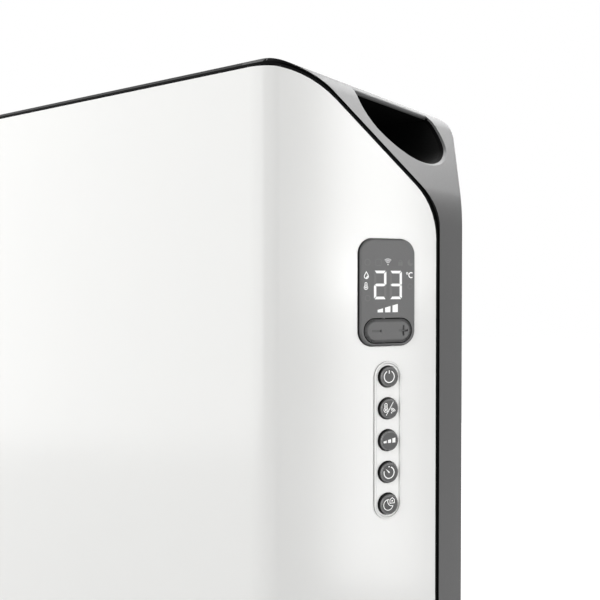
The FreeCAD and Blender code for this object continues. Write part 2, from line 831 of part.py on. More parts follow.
def make_display():
    """Raised display panel, with a flange behind the shell and a window for the rocker key."""
    face = display_block(0, -display_rise, shell_gauge)
    face = face.makeChamfer(display_edge, edges_at(face, "Y", -display_rise))
    half_width = display_width / 2 + panel_flange
    half_height = display_height / 2 + panel_flange
    middle = shell_top - display_drop
    flange = box((display_offset - half_width, shell_gauge, middle - half_height),
                 (display_offset + half_width, panel_back, middle + half_height))
    panel = face.fuse(flange)
    panel = panel.cut(rocker_block(rocker_gap, -body_depth, body_depth))
    length = rocker_height + 2 * (rocker_gap + rocker_pin_hold)
    low = (display_offset, rocker_pin_depth, shell_top - rocker_drop - length / 2)
    pin = rod(rocker_pin_radius, low, Z_AXIS, length)
    export(on_end_face(panel.cut(pin)), "display_panel")
    export(on_end_face(pin), "rocker_pin")
    crown = -display_rise - rocker_rise
    key = rocker_block(0, crown, panel_back)
    key = key.makeChamfer(rocker_edge, edges_at(key, "Y", crown))
    dip = pusher_spacing / 2 * math.tan(math.radians(rocker_tilt_degrees))
    reach = plunger_tip - plunger_gap - dip - panel_back
    for side in (-1, 1):
        x = display_offset + side * pusher_spacing / 2
        key = key.fuse(post(x, shell_top - rocker_drop, pusher_side, panel_back, panel_back + reach))
    bore = rod(rocker_pin_radius + rocker_pin_play, low, Z_AXIS, length)
    export(on_end_face(key.cut(bore)), "rocker_key")


def make_buttons():
    """White button strip with a raised rim, and five round push-buttons held behind it by square flanges."""
    dish = strip_block(bezel_width - 2 * bezel_rim, -bezel_rise, -bezel_floor)
    strip = strip_block(bezel_width, -bezel_rise, 0).cut(dish)
    strip = strip.makeChamfer(bezel_edge, edges_at(strip, "Y", -bezel_rise))
    strip = strip.fuse(strip_block(bezel_width - 2 * (bezel_lip + fit_gap), 0, bezel_back))
    holes = []
    for n in range(button_count):
        base = (button_offset, -bezel_rise, button_height(n))
        holes.append(rod(button_radius + button_hole_gap, base, Y_AXIS, bezel_back + 2 * bezel_rise))
    export(on_end_face(strip.cut(Part.makeCompound(holes))), "button_bezel")
    names = ["power_button", "mode_button", "level_button", "timer_button", "night_button"]
    for n, name in enumerate(names):
        z = button_height(n)
        cap = rod(button_radius, (button_offset, -button_rise, z), Y_AXIS, button_rise + button_seat)
        cap = cap.makeChamfer(button_edge, edges_at(cap, "Y", -button_rise))
        stem_start = button_seat + button_flange_wall
        flange = post(button_offset, z, 2 * (button_radius + button_flange), button_seat, stem_start)
        stem = post(button_offset, z, pusher_side, stem_start, stem_start + button_stem)
        export(on_end_face(cap.fuse([flange, stem]).removeSplitter()), name)


def make_control_electronics():
    """Housing behind the end face with the control board, its switches and the display module."""
    side = display_width / 2 + panel_flange + fit_gap
    top = shell_top - display_drop + display_height / 2 + panel_flange + fit_gap
    low = button_height(button_count - 1) - bezel_width / 2 - housing_margin
    left = display_offset - side
    right = display_offset + side
    wall = housing_wall
    outer = box((left - wall, shell_gauge, low - wall), (right + wall, housing_depth, top + wall))
    housing = outer.cut(box((left, 0, low), (right, housing_depth - wall, top)))
    board_back = board_depth + board_wall
    posts = []
    for x in (left, right):
        for z in (low, top):
            posts.append(post(x, z, 4 * wall, board_back, housing_depth - wall).common(outer))
    export(on_end_face(housing.fuse(posts).removeSplitter()), "control_housing")
    gap = fit_gap
    board = box((left + gap, board_depth, low + gap), (right - gap, board_back, top - gap))
    export(on_end_face(board), "control_board")
    places = [(button_offset, button_height(n)) for n in range(button_count)]
    places += [(display_offset + s * pusher_spacing / 2, shell_top - rocker_drop) for s in (-1, 1)]
    face = board_depth - switch_height
    switches = []
    for x, z in places:
        body = post(x, z, switch_side, face, board_depth)
        switches.append(body.fuse(post(x, z, plunger_side, plunger_tip, face)))
    export(on_end_face(Part.makeCompound(switches)), "tact_switches")
    z = shell_top - module_drop
    module = box((display_offset - module_width / 2, panel_back, z - module_height / 2),
                 (display_offset + module_width / 2, board_depth, z + module_height / 2))
    export(on_end_face(module), "display_module")


def heat_shield(side):
    """A folded sheet behind a shell, flanged onto the tray, drawn as at the front."""
    y = shield_inset - side.depth
    top = body_top - shield_top_gap
    sheet = box((-bracket_half, y, tray_top), (bracket_half, y + shield_gauge, top))
    foot = box((-bracket_half, y, tray_top), (bracket_half, y + shield_flange, tray_top + shield_gauge))
    return sheet.fuse(foot).removeSplitter()


def make_heat_shields():
    """Folded sheets between the heating elements and the shells."""
    export(heat_shield(FRONT), "front_heat_shield")
    export(mirror_y(heat_shield(REAR)), "rear_heat_shield")


def make_element_brackets():
    """Folded sheet brackets that hold both heating elements, standing between the heat shields."""
    low = (bracket_half, shield_inset - front_depth, tray_top)
    far = rear_depth - shield_inset
    plate = box(low, (bracket_half + bracket_gauge, far, tray_top + bracket_height))
    flange = box(low, (bracket_half + bracket_flange, far, tray_top + bracket_gauge))
    bracket = plate.fuse(flange)
    for row in element_rows:
        base = (bracket_half, row, element_axis)
        bracket = bracket.cut(hex_rod(2 * insulator_neck_radius, base, X_AXIS, bracket_gauge))
    bracket = bracket.removeSplitter()
    export(bracket, "element_bracket_right")
    export(mirror_x(bracket), "element_bracket_left")


def make_heating_elements():
    """Two extruded aluminium elements: a hexagonal core with four slotted fins, and a stud at each end."""
    half = bracket_half - element_end_gap
    fin = element_fin_length
    wall = element_fin_wall / 2
    root = element_core_radius + element_fin_wall
    count = int(2 * half // element_slot_pitch)
    first = -(count - 1) * element_slot_pitch / 2
    blade = box((-half, -fin, -wall), (half, fin, wall))
    for n in range(count):
        left = first + n * element_slot_pitch
        for low, high in ((-fin, -root), (root, fin)):
            blade = blade.cut(box((left, low, -wall), (left + element_slot_width, high, wall)))
    element = hex_rod(2 * element_core_radius, (-half, 0, 0), X_AXIS, 2 * half)
    for degrees in (45, -45):
        element = element.fuse(blade.rotated(ORIGIN, X_AXIS, degrees))
    terminal_end = half + terminal_reach
    studs = hex_rod(2 * terminal_radius, (-terminal_end, 0, 0), X_AXIS, 2 * terminal_end)
    element = element.fuse(studs).removeSplitter()
    for row, name in zip(element_rows, ("heating_element_front", "heating_element_rear")):
        placed = element.copy()
        placed.translate(V(0, row, element_axis))
        export(placed, name)


def make_insulators():
    """Ceramic bushes with hexagonal necks that seat in the brackets and carry the elements' studs."""
    insulators = []
    for row in element_rows:
        shoulder = bracket_half - insulator_shoulder
        bush = box((shoulder, row - insulator_side / 2, element_axis - insulator_side / 2),
                   (bracket_half, row + insulator_side / 2, element_axis + insulator_side / 2))
        neck_length = bracket_gauge + insulator_shoulder
        neck = hex_rod(2 * insulator_neck_radius, (bracket_half, row, element_axis), X_AXIS, neck_length)
        bore = hex_rod(2 * terminal_radius, (0, row, element_axis), X_AXIS, 2 * bracket_half)
        bush = bush.fuse(neck).cut(bore)
        insulators += [bush, mirror_x(bush)]
    export(Part.makeCompound(insulators), "element_insulators")


def make_thermal_cutout():
    """Disc cut-out on a tab, fixed to the right bracket above the elements."""
    z = tray_top + bracket_height - cutout_drop
    tab = box((bracket_half - shield_gauge, body_middle - cutout_plate / 2, z - cutout_radius),
              (bracket_half, body_middle + cutout_plate / 2, z + cutout_radius))
    disc = rod(cutout_radius, (bracket_half - cutout_height, body_middle, z), X_AXIS, cutout_height)
    export(tab.fuse(disc).removeSplitter(), "thermal_cutout")


def make_power_electronics():
    """Power board on stand-offs beside the right bracket, with its relays and terminal block."""
    face = bracket_half + bracket_gauge
    back = face + standoff_length
    low = tray_top + power_board_lift
    high = low + power_board_height
    left = body_middle - power_board_width / 2
    right = body_middle + power_board_width / 2
    board = box((back, left, low), (back + board_wall, right, high))
    export(board, "power_board")
    standoffs = []
    for y in (left + standoff_inset, right - standoff_inset):
        for z in (low + standoff_inset, high - standoff_inset):
            standoffs.append(hex_rod(2 * standoff_radius, (face, y, z), X_AXIS, standoff_length))
    export(Part.makeCompound(standoffs), "board_standoffs")
    front_face = back + board_wall
    relays = []
    middle = (low + high) / 2
    for n in (-1, 1):
        y = body_middle + n * relay_spacing / 2
        relays.append(box((front_face, y - relay_width / 2, middle - relay_length / 2),
                          (front_face + relay_height, y + relay_width / 2, middle + relay_length / 2)))
    export(Part.makeCompound(relays), "relays")
    z = low + standoff_inset
    crown = front_face + terminal_block_height
    block = box((front_face, body_middle - terminal_length / 2, z),
                (crown, body_middle + terminal_length / 2, z + terminal_block_width))
    for n in (-1, 0, 1):
        y = body_middle + n * terminal_length / 3
        middle_z = z + terminal_block_width / 2
        low = (crown - terminal_block_height / 2, y - terminal_entry / 2, middle_z - terminal_entry / 2)
        high = (crown, y + terminal_entry / 2, middle_z + terminal_entry / 2)
        block = block.cut(box(low, high))
    export(block, "terminal_block")


def make_sensors():
    """Tilt switch and room temperature sensor, on the tray below the controls."""
    tilt = box((flat_half - tilt_side / 2, tilt_y - tilt_side / 2, tray_top),
               (flat_half + tilt_side / 2, tilt_y + tilt_side / 2, tray_top + tilt_height))
    export(tilt, "tilt_switch")
    reach = 2 * sensor_radius
    clip = box((sensor_x - reach, sensor_y - reach, tray_top),
               (sensor_x + reach, sensor_y + reach, tray_top + sensor_radius))
    bead = hex_rod(2 * sensor_radius, (sensor_x, sensor_y, tray_top), Z_AXIS, sensor_length)
    export(clip.fuse(bead).removeSplitter(), "room_sensor")


def make_cord_gland():
    """Gland where the mains cord enters through the tray, held from turning by its hexagonal stem."""
    collar_base = (gland_x, gland_y, tray_bottom - gland_collar_height)
    collar = hex_rod(2 * gland_collar, collar_base, Z_AXIS, gland_collar_height)
    stem = hex_rod(2 * gland_radius, (gland_x, gland_y, tray_bottom), Z_AXIS, tray_wall + gland_reach)
    bore = rod(gland_bore, (gland_x, gland_y, 0), Z_AXIS, shell_top)
    export(collar.fuse(stem).cut(bore).removeSplitter(), "cord_gland")


def make_screws():
    """Screws from under the tray into the end frames, and through the rear shell into their seats."""
    tray_screws = []
    for sign in (-1, 1):
        tray_screws += [hex_screw((sign * x, y, tray_bottom), Z_AXIS, screw_length) for x, y in boss_places()]
    export(Part.makeCompound(tray_screws), "tray_screws")
    shell_screws = [hex_screw(place, inward, shell_screw_length) for place, inward in shell_screw_places()]
    export(Part.makeCompound(shell_screws + [mirror_x(s) for s in shell_screws]), "shell_screws")


make_shells()
make_carriers()
make_end_covers()
make_end_frames()
make_handle_cups()
make_top_grille()
make_base_tray()
make_feet()
make_display()
make_buttons()
make_control_electronics()
make_heat_shields()
make_element_brackets()
make_heating_elements()
make_insulators()
make_thermal_cutout()
make_power_electronics()
make_sensors()
make_cord_gland()
make_screws()
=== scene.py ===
import json
import math
import bpy
from mathutils import Matrix, Vector
from mathutils.bvhtree import BVHTree

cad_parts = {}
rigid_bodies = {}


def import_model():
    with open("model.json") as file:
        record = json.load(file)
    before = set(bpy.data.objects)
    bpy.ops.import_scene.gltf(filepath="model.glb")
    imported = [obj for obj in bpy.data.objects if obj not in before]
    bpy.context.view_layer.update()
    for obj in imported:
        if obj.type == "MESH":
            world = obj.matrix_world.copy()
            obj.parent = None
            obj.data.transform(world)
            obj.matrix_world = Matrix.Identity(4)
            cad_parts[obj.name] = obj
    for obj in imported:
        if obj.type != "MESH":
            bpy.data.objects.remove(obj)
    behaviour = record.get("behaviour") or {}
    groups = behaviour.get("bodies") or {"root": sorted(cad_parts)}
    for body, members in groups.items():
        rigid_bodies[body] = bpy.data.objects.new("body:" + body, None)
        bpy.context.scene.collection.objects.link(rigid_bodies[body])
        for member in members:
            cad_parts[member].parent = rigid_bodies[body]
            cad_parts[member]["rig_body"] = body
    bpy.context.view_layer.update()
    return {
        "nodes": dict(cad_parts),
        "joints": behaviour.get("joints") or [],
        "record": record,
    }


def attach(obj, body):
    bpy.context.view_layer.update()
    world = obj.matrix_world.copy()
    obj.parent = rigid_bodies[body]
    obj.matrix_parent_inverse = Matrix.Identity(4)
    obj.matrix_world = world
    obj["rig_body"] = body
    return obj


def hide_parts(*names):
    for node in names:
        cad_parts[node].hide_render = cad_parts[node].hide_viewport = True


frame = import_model()
nodes = frame["nodes"]
mm = 0.001


# White shells
# The front and rear shells are each one sheet of 1 mm steel, blanked to a chamfered outline, bent back
# at both ends and powder coated. The coat runs over the cut edges and leaves them slightly round.
shell_edge_round = 0.3 * mm
shell_white = "#F1F1EF"
shell_white_deep = "#EFEFED"
orange_peel_size = 2.2 * mm
orange_peel_depth = 0.03 * mm
orange_peel_strength = 0.05
coat_drift_size = 60 * mm
coat_rough = 0.17
coat_rough_drift = 0.02
weld_distance = 0.002 * mm
flat_within = 0.5
crease_angle = 28


def linear(code):
    """An sRGB hex colour as the linear values that a shader takes."""
    parts = [int(code[i:i + 2], 16) / 255 for i in (1, 3, 5)]
    return [p / 12.92 if p <= 0.04045 else ((p + 0.055) / 1.055) ** 2.4 for p in parts] + [1.0]


def add_node(tree, kind, settings=None, inputs=None):
    """Add one node, give it its settings and socket values, and link what it reads."""
    node = tree.nodes.new(kind)
    for name, value in (settings or {}).items():
        setattr(node, name, value)
    for name, value in (inputs or {}).items():
        if isinstance(value, bpy.types.NodeSocket):
            tree.links.new(value, node.inputs[name])
        else:
            node.inputs[name].default_value = value
    return node


def new_material(name):
    """An empty material, its node tree and the piece's own coordinates."""
    material = bpy.data.materials.new(name)
    material.use_nodes = True
    tree = material.node_tree
    tree.nodes.clear()
    return material, tree, add_node(tree, "ShaderNodeTexCoord").outputs["Object"]


def white_powder_coat():
    """Satin polyester powder coat: soft lamp reflections on a bright white, with a faint orange peel."""
    material, tree, place = new_material("white_powder_coat_on_steel")
    drift = add_node(tree, "ShaderNodeTexNoise", inputs={"Vector": place, "Scale": 1 / coat_drift_size})
    peel = add_node(tree, "ShaderNodeTexNoise", inputs={"Vector": place, "Scale": 1 / orange_peel_size})
    tones = {"Fac": drift.outputs["Fac"], "Color1": linear(shell_white_deep), "Color2": linear(shell_white)}
    tone = add_node(tree, "ShaderNodeMixRGB", inputs=tones)
    sheen = {"Value": drift.outputs["Fac"], "To Min": coat_rough - coat_rough_drift,
             "To Max": coat_rough + coat_rough_drift}
    rough = add_node(tree, "ShaderNodeMapRange", inputs=sheen)
    relief = {"Height": peel.outputs["Fac"], "Strength": orange_peel_strength, "Distance": orange_peel_depth}
    dimple = add_node(tree, "ShaderNodeBump", inputs=relief)
    finish = {"Base Color": tone.outputs["Color"], "Roughness": rough.outputs["Result"],
              "Normal": dimple.outputs["Normal"]}
    shader = add_node(tree, "ShaderNodeBsdfPrincipled", inputs=finish)
    add_node(tree, "ShaderNodeOutputMaterial", inputs={"Surface": shader.outputs["BSDF"]})
    return material


def stand_for(piece, node, material):
    """Let a piece replace a CAD node: it takes the node's body, slot and place, and a finish."""
    piece.data.materials.clear()
    piece.data.materials.append(material)
    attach(piece, nodes[node]["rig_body"])
    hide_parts(node)
    return piece


def pick(piece):
    """Make a piece the active one and the only one selected."""
    bpy.ops.object.select_all(action="DESELECT")
    piece.select_set(True)
    bpy.context.view_layer.objects.active = piece


def merged_copy(node):
    """A copy of a CAD piece with its loose triangles merged and its flat faces made whole."""
    piece = bpy.data.objects.new(node + "_finish", nodes[node].data.copy())
    bpy.context.collection.objects.link(piece)
    pick(piece)
    bpy.ops.mesh.customdata_custom_splitnormals_clear()
    bpy.ops.object.mode_set(mode="EDIT")
    bpy.ops.mesh.select_all(action="SELECT")
    bpy.ops.mesh.remove_doubles(threshold=weld_distance)
    bpy.ops.mesh.dissolve_limited(angle_limit=math.radians(flat_within))
    bpy.ops.object.mode_set(mode="OBJECT")
    return piece


def round_edges(piece, width, steps=2, angle=crease_angle):
    """Round every edge that is sharper than an angle, and shade the round faces smooth."""
    bevel = piece.modifiers.new("round", "BEVEL")
    bevel.width = width
    bevel.segments = steps
    bevel.limit_method = "ANGLE"
    bevel.angle_limit = math.radians(angle)
    bevel.use_clamp_overlap = True
    pick(piece)
    bpy.ops.object.modifier_apply(modifier="round")
    bpy.ops.object.shade_smooth_by_angle(angle=math.radians(angle))
    flats = piece.modifiers.new("flats", "WEIGHTED_NORMAL")
    flats.keep_sharp = True
    flats.weight = 100
    bpy.ops.object.modifier_apply(modifier="flats")
    return piece


coat = white_powder_coat()
for node in ("front_shell", "rear_shell"):
    stand_for(round_edges(merged_copy(node), shell_edge_round), node, coat)


# Grey end covers
# Each end cover is one ABS moulding with a spark-eroded texture: an upright strip, a sloping facet with the
# opening of the lifting pocket, and a flat top that meets the grille. It clips over the end frame.
cover_edge_round = 0.65 * mm
cover_grey = "#4C4C4C"
cover_grey_deep = "#434343"
spark_grain_size = 0.55 * mm
spark_grain_depth = 0.05 * mm
matt_grain_size = 0.8 * mm
matt_grain_depth = 0.04 * mm
grain_detail = 3.0
grain_strength = 0.35
noise_low = 0.3
noise_high = 0.7
gloss_spread = 0.06
# Reaches and lean of the black painted shade on the covers, beside the shells and in the pocket.
gap_shade_reach = 4.6 * mm
pocket_shade_reach = 2.4 * mm
pocket_shade_wall_lean = 0.3
lip_corner = 299.15
lip_height = 518.0
lip_slope = 43
lip_round = 1.5
lip_steps = 12
lip_half_length = 38.3
tool_margin = 1.0
tool_overhang = 1.5
cut_edge_round = 0.1 * mm
cut_crease = 50


def moulded_plastic(name, tone, deep_tone, rough, grain_size, grain_depth, shine=0.5):
    """Moulded plastic: an even colour, broken by the fine grain that its tool leaves."""
    material, tree, place = new_material(name)
    pattern = {"Vector": place, "Scale": 1 / grain_size, "Detail": grain_detail}
    grain = add_node(tree, "ShaderNodeTexNoise", inputs=pattern)
    spread = {"Value": grain.outputs["Fac"], "From Min": noise_low, "From Max": noise_high}
    speck = add_node(tree, "ShaderNodeMapRange", inputs=spread).outputs["Result"]
    tones = {"Fac": speck, "Color1": linear(deep_tone), "Color2": linear(tone)}
    colour = add_node(tree, "ShaderNodeMixRGB", inputs=tones)
    sheen = {"Value": speck, "To Min": rough - gloss_spread, "To Max": rough + gloss_spread}
    gloss = add_node(tree, "ShaderNodeMapRange", inputs=sheen)
    relief = {"Height": grain.outputs["Fac"], "Strength": grain_strength, "Distance": grain_depth}
    dimple = add_node(tree, "ShaderNodeBump", inputs=relief)
    finish = {"Base Color": colour.outputs["Color"], "Roughness": gloss.outputs["Result"],
              "Normal": dimple.outputs["Normal"], "Specular IOR Level": shine}
    shader = add_node(tree, "ShaderNodeBsdfPrincipled", inputs=finish)
    add_node(tree, "ShaderNodeOutputMaterial", inputs={"Surface": shader.outputs["BSDF"]})
    return material


grey_abs = moulded_plastic("grey_abs_spark_eroded", cover_grey, cover_grey_deep, 0.5,
                           spark_grain_size, spark_grain_depth)
black_abs = moulded_plastic("black_abs_matt", "#0A0A0A", "#070707", 0.6,
                            matt_grain_size, matt_grain_depth, shine=0.06)


def surface_of(*names):
    """The surfaces of CAD pieces, to measure distances from."""
    spots = []
    faces = []
    for name in names:
        mesh = nodes[name].data
        faces += [[v + len(spots) for v in face.vertices] for face in mesh.polygons]
        spots += [vertex.co.copy() for vertex in mesh.vertices]
    return BVHTree.FromPolygons(spots, faces)


def arc(x, y, radius, start, end, steps=28):
    """Points along an arc round a centre, from one angle to another in degrees."""
    angles = [math.radians(start + (end - start) * n / steps) for n in range(steps + 1)]
    return [(x + radius * math.cos(a), y + radius * math.sin(a)) for a in angles]


def flat_piece(name, shapes, half_depth, placing):
    """Closed outlines in millimetres, filled, given a depth, made a mesh and put in place."""
    parts = []
    for shape in shapes:
        curve = bpy.data.curves.new(name, "CURVE")
        curve.dimensions = "2D"
        curve.fill_mode = "BOTH"
        curve.extrude = half_depth
        for outline in shape:
            spline = curve.splines.new("POLY")
            spline.points.add(len(outline) - 1)
            for point, (x, y) in zip(spline.points, outline):
                point.co = (x, y, 0, 1)
            spline.use_cyclic_u = True
        part = bpy.data.objects.new(name, curve)
        bpy.context.collection.objects.link(part)
        parts.append(part)
    pick(parts[0])
    for part in parts:
        part.select_set(True)
    bpy.ops.object.convert(target="MESH")
    if len(parts) > 1:
        bpy.ops.object.join()
    piece = bpy.context.view_layer.objects.active
    piece.name = name
    piece.data.transform(placing @ Matrix.Scale(mm, 4))
    return piece


def cut_away(piece, tool):
    """Take a tool's shape out of a piece, and remove the tool."""
    cut = piece.modifiers.new("cut", "BOOLEAN")
    cut.operation = "DIFFERENCE"
    cut.object = tool
    cut.solver = "EXACT"
    pick(piece)
    bpy.ops.object.modifier_apply(modifier="cut")
    bpy.data.objects.remove(tool, do_unlink=True)


def round_the_lip(piece, way):
    """Round the straight upper edge of the pocket's opening, where the fingers take hold."""
    slope = math.radians(lip_slope)
    touch = lip_round / math.tan(slope / 2)
    outline = arc(-touch, lip_round, lip_round, -90, 90 - lip_slope, lip_steps)
    x, z = outline[-1]
    outline.append((x + tool_margin * math.sin(slope), z + tool_margin * math.cos(slope)))
    outline += [(tool_overhang, -tool_margin), (-touch, -tool_margin)]
    section = [(way * (lip_corner + x), lip_height + z) for x, z in outline]
    upright = Matrix.Rotation(math.radians(90), 4, "X")
    cut_away(piece, flat_piece("lip_tool", [[section]], lip_half_length, upright))
    return round_edges(piece, cut_edge_round, angle=cut_crease)


shell_edges = surface_of("front_shell", "rear_shell")
for side, way in (("right", 1), ("left", -1)):
    node = "end_cover_" + side
    cover = round_edges(merged_copy(node), cover_edge_round, steps=4)
    stand_for(round_the_lip(cover, way), node, grey_abs)
    # The faces beside the shells' edges and the pocket's side walls near the cup take black ABS: painted
    # shade for the shadow gap and the shaded pocket walls.
    cover.data.materials.append(black_abs)
    cup = surface_of("handle_cup_" + side)
    for face in cover.data.polygons:
        in_gap_shade = shell_edges.find_nearest(face.center)[3] < gap_shade_reach
        near_cup_shade = cup.find_nearest(face.center)[3] < pocket_shade_reach
        if in_gap_shade or (near_cup_shade and abs(face.normal.x) < pocket_shade_wall_lean):
            face.material_index = 1


# Handle cups
# A cup of matt dark ABS closes each lifting pocket behind its opening in the end cover, and is clipped to
# it. It only gets the light that comes in past the rim, so it reads as nearly black.
cup_edge_round = 0.4 * mm
cup_black = moulded_plastic("dark_abs_matt_cup", "#121212", "#0F0F0F", 0.6,
                            matt_grain_size, matt_grain_depth, shine=0.1)
for node in ("handle_cup_right", "handle_cup_left"):
    stand_for(round_edges(merged_copy(node), cup_edge_round), node, cup_black)


# Top outlet grille
# The grille is one moulding of heat-resistant plastic, with two rows of blades either side of a spine.
# Its long edges are chamfered, and it drops onto ledges on the end covers.
grille_edge_round = 0.5 * mm
grille_black = moulded_plastic("grille_pbt_moulded", "#242425", "#202020", 0.55,
                               0.7 * mm, 0.05 * mm, shine=0.25)
stand_for(round_edges(merged_copy("top_grille"), grille_edge_round), "top_grille", grille_black)


# Feet and pads
# The feet are moulded in the same grey ABS as the end covers and screwed up to the tray through their
# saddles. A rubber pad is pressed into each toe.
foot_edge_round = 1.2 * mm
pad_edge_round = 0.8 * mm
rubber = moulded_plastic("rubber_moulded_pad", "#1B1B1B", "#161616", 0.75, 1.2 * mm, 0.08 * mm)
for node in ("foot_left", "foot_right"):
    stand_for(round_edges(merged_copy(node), foot_edge_round, steps=3), node, grey_abs)
stand_for(round_edges(merged_copy("foot_pads"), pad_edge_round), "foot_pads", rubber)


# Display panel
# The display panel is a satin smoked-polycarbonate moulding that stands proud of the shell; its side walls
# are painted black as painted shade. Its figures are light that shows through the face, and unlit ones are
# just to be seen.
panel_edge_round = 0.35 * mm
satin_grain_size = 0.9 * mm
satin_grain_depth = 0.01 * mm
shaded_wall_lean = 0.45
window_margin = 1 * mm
digit_width = 6.6
digit_height = 13.3
digit_foot = -3.15
two_left = -7.6
three_left = 0.8
segment_width = 1.22
segment_gap = 0.12
segment_nip = 0.3
ghost_line = 0.3
top_row = 14.0
mark_proud = 0.02
lamp_pitch = 2.5 * mm
lamp_spread = 0.05
figure_light = 0.93
press = next(joint for joint in frame["joints"] if joint["name"] == "power_press")
outward = -Vector(press["axis"])
upward = Vector((0, 0, 1))
along = upward.cross(outward)
face_turn = Matrix((along, upward, outward)).transposed().to_4x4()
reaches = {}


def reach(node, direction):
    """How far a CAD piece reaches along a direction, lowest and highest."""
    key = (node, tuple(direction))
    if key not in reaches:
        spots = [vertex.co.dot(direction) for vertex in nodes[node].data.vertices]
        reaches[key] = (min(spots), max(spots))
    return reaches[key]


def face_spot(node):
    """The middle of a piece's outer face on the end face of the heater."""
    middle = along * (sum(reach(node, along)) / 2) + upward * (sum(reach(node, upward)) / 2)
    return middle + outward * reach(node, outward)[1]


def off_pill(spot, node):
    """How far a point is from the middle line of a pill-shaped piece, and the radius of that pill."""
    half = [(reach(node, way)[1] - reach(node, way)[0]) / 2 for way in (along, upward)]
    away = spot - face_spot(node)
    beyond = [max(abs(away.dot(way)) - size + min(half), 0) for way, size in zip((along, upward), half)]
    return math.hypot(*beyond), min(half)


def paint_wall_shade(piece, material):
    """Paint shade on the faces that stand up from the end face of the heater, as a second, darker material.
    """
    piece.data.materials.append(material)
    for face in piece.data.polygons:
        if abs(face.normal.dot(outward)) < shaded_wall_lean:
            face.material_index = 1


def circle(x, y, radius, steps=28):
    """Points round a circle, which its outline closes."""
    return arc(x, y, radius, 0, 345, steps)


def sides(points, width, closed):
    """The two sides of a line of an even width, mitred at its corners."""
    left = []
    right = []
    count = len(points)
    for n, (x, y) in enumerate(points):
        before = points[n - 1] if closed or n > 0 else points[n]
        after = points[(n + 1) % count] if closed or n < count - 1 else points[n]
        first = Vector((x - before[0], y - before[1]))
        second = Vector((after[0] - x, after[1] - y))
        first = first.normalized() if first.length > 0 else second.normalized()
        second = second.normalized() if second.length > 0 else first
        tangent = (first + second).normalized()
        half = width / 2 / max(tangent.dot(first), 0.5)
        left.append((x - tangent.y * half, y + tangent.x * half))
        right.append((x + tangent.y * half, y - tangent.x * half))
    return left, right


def line(points, width):
    """A drawn line as one closed outline."""
    left, right = sides(points, width, False)
    return [left + right[::-1]]


def ring(points, width):
    """A drawn line that closes on itself, as an outer and an inner outline."""
    return list(sides(points, width, True))


def moved(shape, x, y, degrees=0.0):
    """A shape turned about its centre and then shifted."""
    c = math.cos(math.radians(degrees))
    s = math.sin(math.radians(degrees))
    return [[(x + c * a - s * b, y + s * a + c * b) for a, b in outline] for outline in shape]


def shifted(shapes, x, y, degrees=0.0):
    """Several shapes moved together."""
    return [moved(shape, x, y, degrees) for shape in shapes]


def on_face(spot):
    """Where a flat drawing goes whose middle lies at a point of the end face of the heater."""
    return Matrix.Translation(spot) @ face_turn


def mark(name, shapes, spot, body, material):
    """A printed or lit mark on a face, a print's thickness proud of it."""
    piece = flat_piece(name, shapes, mark_proud, on_face(spot))
    piece.data.materials.append(material)
    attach(piece, body)
    return piece


def segments(lit):
    """The lit and the unlit segments of one seven-segment digit, from its lower left corner."""
    w = digit_width
    h = digit_height
    t = segment_width
    gap = segment_gap
    nip = segment_nip
    half = h / 2
    bar = [(gap + nip, h), (w - gap - nip, h), (w - t - gap, h - t), (t + gap, h - t)]
    post = [(w, h - gap - nip), (w, half + gap + nip), (w - nip, half + gap),
            (w - t, half + t / 2 + gap), (w - t, h - t - gap)]
    middle = [(nip + gap, half), (t + gap, half + t / 2), (w - t - gap, half + t / 2), (w - nip - gap, half),
              (w - t - gap, half - t / 2), (t + gap, half - t / 2)]
    shapes = {
        "top": bar,
        "upper_right": post,
        "lower_right": [(x, h - y) for x, y in post],
        "bottom": [(x, h - y) for x, y in bar],
        "lower_left": [(w - x, h - y) for x, y in post],
        "upper_left": [(w - x, y) for x, y in post],
        "middle": middle,
    }
    return [[shapes[n]] for n in shapes if n in lit], [[shapes[n]] for n in shapes if n not in lit]


def signal_fan(size, stroke=0.17):
    """A dot with three arcs over it, in a box of about the given height, with lines of a share of it."""
    foot = -size / 2
    shapes = [[circle(0, foot + 0.13 * size, 0.13 * size, 14)]]
    for share in (0.38, 0.62, 0.86):
        shapes.append(line(arc(0, foot + 0.1 * size, share * size, 130, 50, 16), stroke * size))
    return shapes


def rising_bars(left, foot, width, pitch, first, step, slant):
    """Three bars with slanted tops, each taller than the last."""
    bars = []
    for n in range(3):
        x = left + n * pitch
        top = foot + first + n * step
        bars.append([[(x, foot), (x + width, foot), (x + width, top + slant), (x, top)]])
    return bars


def thermometer(height, width, stroke):
    """A bulb under a capsule, drawn in line, with a filled bulb and column."""
    r = width / 2
    low = -height / 2 + 1.25 * r
    outline = arc(0, low, 1.25 * r, 127, 413, 24) + arc(0, height / 2 - 0.75 * r, 0.75 * r, 0, 180, 12)
    column = line([(0, low), (0, height / 2 - r)], stroke)
    return [ring(outline, stroke), [circle(0, low, 0.55 * r, 14)], column]


def droplet(height, stroke):
    """A drop drawn in line, with its lower right part filled along a jagged edge."""
    r = 0.34 * height
    low = -height / 2 + r
    outline = [(0, height / 2)] + arc(0, low, r, 25, -205, 24)
    fill = arc(0, low, 0.72 * r, -120, 30, 14) + [(0.1 * r, low + 0.1 * r), (0.2 * r, low - 0.15 * r)]
    return [ring(outline, stroke), [fill]]


def lit_mark(name, tone, light):
    """White light through a diffusing face: even, and a trace less bright between the lamps behind it."""
    material, tree, place = new_material(name)
    cloud = add_node(tree, "ShaderNodeTexNoise", inputs={"Vector": place, "Scale": 1 / lamp_pitch})
    range_of_light = {"Value": cloud.outputs["Fac"], "To Min": (1 - lamp_spread) * light,
                      "To Max": (1 + lamp_spread) * light}
    glow = add_node(tree, "ShaderNodeMapRange", inputs=range_of_light)
    finish = {"Base Color": linear(tone), "Roughness": 0.45, "Emission Color": linear("#FFFFFF"),
              "Emission Strength": glow.outputs["Result"]}
    shader = add_node(tree, "ShaderNodeBsdfPrincipled", inputs=finish)
    add_node(tree, "ShaderNodeOutputMaterial", inputs={"Surface": shader.outputs["BSDF"]})
    return material


